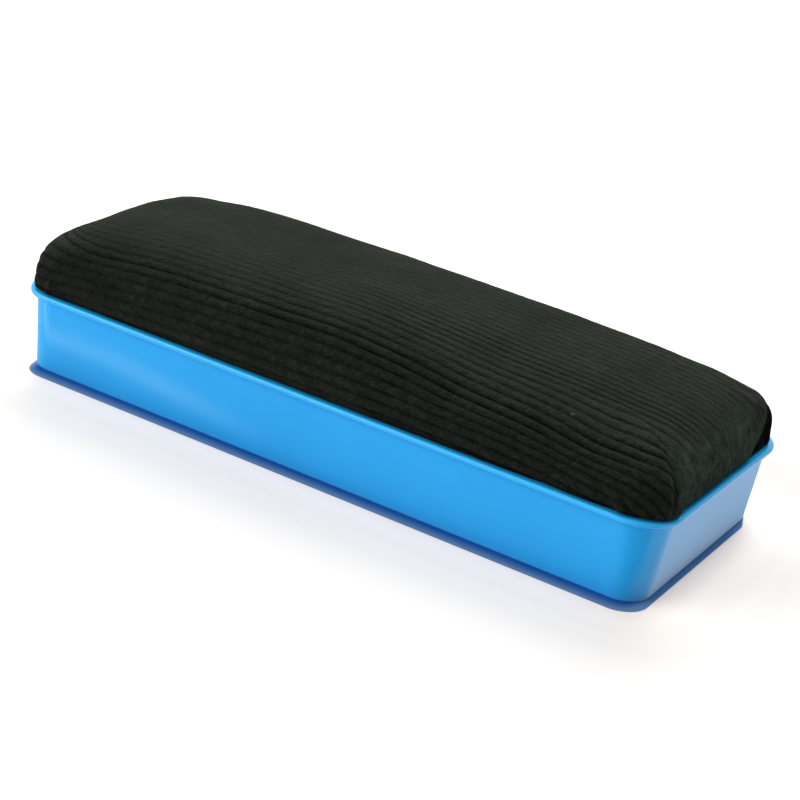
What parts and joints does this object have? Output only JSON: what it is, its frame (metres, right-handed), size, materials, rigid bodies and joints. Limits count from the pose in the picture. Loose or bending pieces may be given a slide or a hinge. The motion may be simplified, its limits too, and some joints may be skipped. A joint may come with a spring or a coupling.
{
  "type": "chalkboard eraser",
  "caption": "Hand-held chalkboard eraser: a shallow blue moulded tray with a rim, filled by a domed foam pad wrapped in dark ribbed corduroy for wiping chalk.",
  "frame": {"origin": "centre of the tray's underside, on the plane of its resting rim", "axes": "+X along the length, +Y across the width, +Z from the tray's underside towards the wiping face of the pad"},
  "size_m": [0.145, 0.0606, 0.032],
  "materials": {
    "tray": "gloss",
    "corduroy": "matte",
    "foam": "matte",
    "board": "matte",
    "glue": "satin",
    "staple_wire": "satin"
  },
  "bodies": {
    "root": {"tray": "tray", "corduroy_cover": "corduroy", "foam_core": "foam", "backing_board": "board", "glue_beads": "glue", "staples": "staple_wire"}
  },
  "joints": []
}
